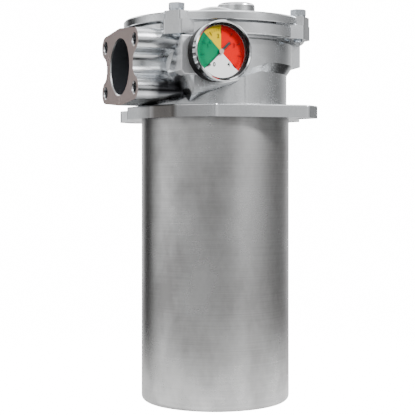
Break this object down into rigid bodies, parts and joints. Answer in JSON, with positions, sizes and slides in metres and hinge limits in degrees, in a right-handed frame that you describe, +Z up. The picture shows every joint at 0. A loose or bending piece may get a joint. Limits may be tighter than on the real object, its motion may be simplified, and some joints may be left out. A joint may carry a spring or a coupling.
{
  "type": "tank top filter",
  "caption": "Tank top hydraulic filter: cast head with flanged side port, dial gauge, bolted cover and a long drawn bowl holding a pleated element.",
  "frame": {"origin": "centre of the tank face, the underside of the mounting plate, on the bowl's axis", "axes": "+Z up along the bowl's axis through the cover, the inlet port faces -X and the gauge faces -Y"},
  "size_m": [0.1835, 0.1943, 0.3765],
  "materials": {
    "cast_aluminium": "satin as-cast",
    "brushed_aluminium": "brushed",
    "zinc_steel": "bright zinc plated",
    "nitrile_rubber": "matte",
    "spring_steel": "drawn wire",
    "tinned_steel": "tinned sheet",
    "filter_media": "pleated glass fibre",
    "moulded_nylon": "moulded",
    "black_enamel": "gloss black enamel on steel",
    "chrome": "polished",
    "clear_window": "polished",
    "dial_enamel": "printed enamel",
    "brass": "machined",
    "bronze": "drawn phosphor bronze"
  },
  "bodies": {
    "filter": {"head_casting": "cast_aluminium", "bowl": "brushed_aluminium", "bowl_o_ring": "nitrile_rubber", "cover": "cast_aluminium", "cover_o_ring": "nitrile_rubber", "cover_flat_washers": "zinc_steel", "cover_lock_washers": "zinc_steel", "cover_bolts": "zinc_steel", "hold_down_spring": "spring_steel", "element_top_cap": "tinned_steel", "element_media": "filter_media", "element_core": "moulded_nylon", "element_bottom_cap": "tinned_steel", "element_o_ring": "nitrile_rubber", "bypass_cage": "moulded_nylon", "bypass_spring": "spring_steel", "gauge_stem": "brass", "gauge_seal": "nitrile_rubber", "gauge_case": "black_enamel", "gauge_bezel": "chrome", "gauge_window": "clear_window", "gauge_window_gasket": "nitrile_rubber", "gauge_dial": "dial_enamel", "dial_screws": "zinc_steel", "zero_stop_pin": "black_enamel", "bourdon_tube": "bronze", "bourdon_tip": "brass", "movement_back_plate": "brass", "movement_front_plate": "brass", "movement_pillars": "brass"},
    "pointer": {"gauge_pointer": "black_enamel", "pinion_arbor": "zinc_steel"},
    "sector": {"sector_gear": "brass"},
    "link": {"tip_link": "brass"},
    "poppet": {"bypass_poppet": "tinned_steel"}
  },
  "joints": [
    {"name": "pointer_spin", "type": "hinge", "parent": "filter", "child": "pointer", "pos_m": [-0.0397, -0.1, 0.054], "axis": [0, 1, 0], "range_deg": [0, 270], "stiffness_Nm_per_rad": 0.0001, "springref_deg": -57.3},
    {"name": "sector_swing", "type": "hinge", "parent": "filter", "child": "sector", "pos_m": [-0.0397, -0.09, 0.044], "axis": [0, 1, 0], "range_deg": [-70, 2]},
    {"name": "link_swing", "type": "hinge", "parent": "sector", "child": "link", "pos_m": [-0.03556, -0.09, 0.0412], "axis": [0, 1, 0], "range_deg": [-2, 70]},
    {"name": "bypass_slide", "type": "slide", "parent": "filter", "child": "poppet", "axis": [0, 0, -1], "range_m": [0, 0.008], "stiffness_N_per_m": 2000, "springref_m": -0.004, "deforming": ["bypass_spring"]}
  ],
  "couplings": [
    {"joint": "sector_swing", "follows": "pointer_spin", "ratio": -0.25},
    {"joint": "link_swing", "follows": "pointer_spin", "ratio": 0.25}
  ]
}
